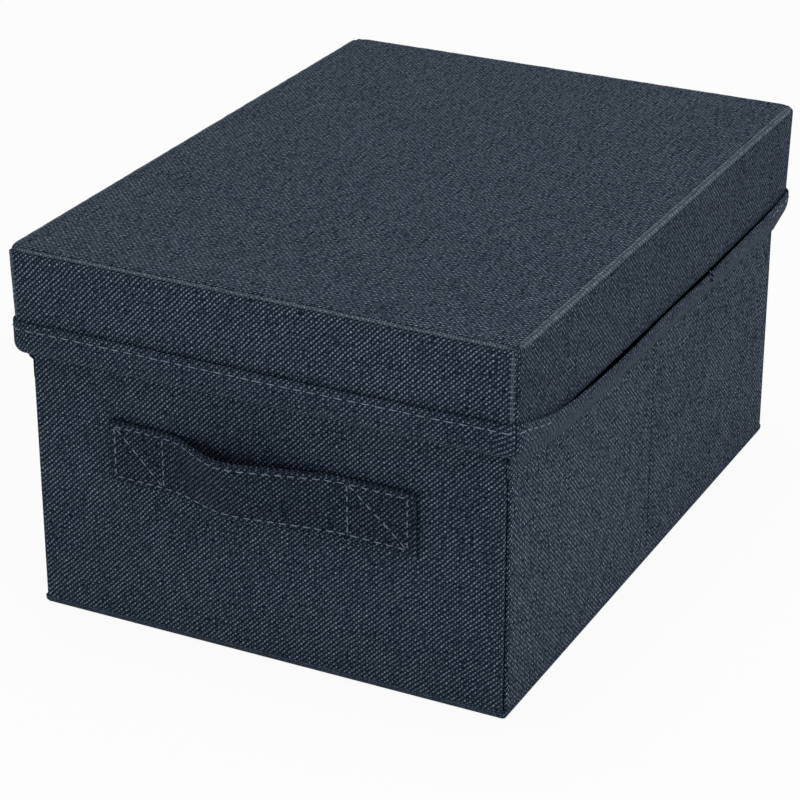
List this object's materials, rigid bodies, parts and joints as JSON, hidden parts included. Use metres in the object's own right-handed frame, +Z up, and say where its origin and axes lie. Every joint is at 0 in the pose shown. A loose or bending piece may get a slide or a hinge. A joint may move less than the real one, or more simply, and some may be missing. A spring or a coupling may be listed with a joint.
{
  "type": "archive box",
  "caption": "Fabric-covered archive box with a lift-off lid, a pull strap on the front and side walls that fold inwards.",
  "frame": {"origin": "middle of the footprint on the table, strap and hem counted in", "axes": "+Z up, the front with the pull strap faces -Y, the long sides face +X and -X"},
  "size_m": [0.2022, 0.2792, 0.145],
  "materials": {
    "wall_cloth": "coarse plain weave, dark slate, matt",
    "lid_cloth": "coarse plain weave, dark slate, matt",
    "hem_cloth": "folded hem of the wall cloth with a topstitch",
    "strap_cloth": "folded strap of the wall cloth with stitched ends",
    "base_cloth": "coarse plain weave, dark slate, matt",
    "lining_cloth": "smooth thin lining, matt",
    "board": "grey paperboard"
  },
  "bodies": {
    "front_wall": {"front_board": "board", "front_cover": "wall_cloth", "front_lining": "lining_cloth", "front_hem": "hem_cloth", "base_cover": "base_cloth", "pull_strap": "strap_cloth"},
    "back_wall": {"back_board": "board", "back_cover": "wall_cloth", "back_lining": "lining_cloth", "back_hem": "hem_cloth"},
    "base_insert": {"insert_board": "board", "insert_cover": "lining_cloth"},
    "lid": {"lid_top_board": "board", "lid_top_cover": "lid_cloth", "lid_lining": "lining_cloth", "lid_front_board": "board", "lid_front_cover": "lid_cloth", "lid_back_board": "board", "lid_back_cover": "lid_cloth", "lid_right_board": "board", "lid_right_cover": "lid_cloth", "lid_left_board": "board", "lid_left_cover": "lid_cloth"},
    "right_front_wall": {"right_front_board": "board", "right_front_cover": "wall_cloth", "right_front_lining": "lining_cloth", "right_front_hem": "hem_cloth"},
    "right_rear_wall": {"right_rear_board": "board", "right_rear_cover": "wall_cloth", "right_rear_lining": "lining_cloth", "right_rear_hem": "hem_cloth"},
    "left_front_wall": {"left_front_board": "board", "left_front_cover": "wall_cloth", "left_front_lining": "lining_cloth", "left_front_hem": "hem_cloth"},
    "left_rear_wall": {"left_rear_board": "board", "left_rear_cover": "wall_cloth", "left_rear_lining": "lining_cloth", "left_rear_hem": "hem_cloth"}
  },
  "joints": [
    {"name": "fold", "type": "hinge", "parent": "front_wall", "child": "right_front_wall", "pos_m": [0.0914, -0.12295, 0.05], "axis": [0, 0, 1], "range_deg": [0, 45], "deforming": ["front_hem", "right_front_hem"]},
    {"name": "right_crease", "type": "hinge", "parent": "right_front_wall", "child": "right_rear_wall", "pos_m": [0.095, 0.00345, 0.05], "axis": [0, 0, 1], "range_deg": [-90, 0], "deforming": ["right_rear_hem"]},
    {"name": "back_right_corner", "type": "hinge", "parent": "right_rear_wall", "child": "back_wall", "pos_m": [0.0914, 0.12985, 0.05], "axis": [0, 0, 1], "range_deg": [0, 45], "deforming": ["back_hem"]},
    {"name": "left_front_corner", "type": "hinge", "parent": "front_wall", "child": "left_front_wall", "pos_m": [-0.0914, -0.12295, 0.05], "axis": [0, 0, 1], "range_deg": [-45, 0], "deforming": ["left_front_hem"]},
    {"name": "left_crease", "type": "hinge", "parent": "left_front_wall", "child": "left_rear_wall", "pos_m": [-0.095, 0.00345, 0.05], "axis": [0, 0, 1], "range_deg": [0, 90], "deforming": ["left_rear_hem"]},
    {"name": "insert_lift", "type": "slide", "parent": "front_wall", "child": "base_insert", "axis": [0, 0, 1], "range_m": [0, 0.105]},
    {"name": "lid_lift", "type": "slide", "parent": "front_wall", "child": "lid", "axis": [0, 0, 1], "range_m": [0, 0.12]}
  ],
  "couplings": [
    {"joint": "right_crease", "follows": "fold", "ratio": -2},
    {"joint": "back_right_corner", "follows": "fold", "ratio": 1},
    {"joint": "left_front_corner", "follows": "fold", "ratio": -1},
    {"joint": "left_crease", "follows": "fold", "ratio": 2}
  ]
}
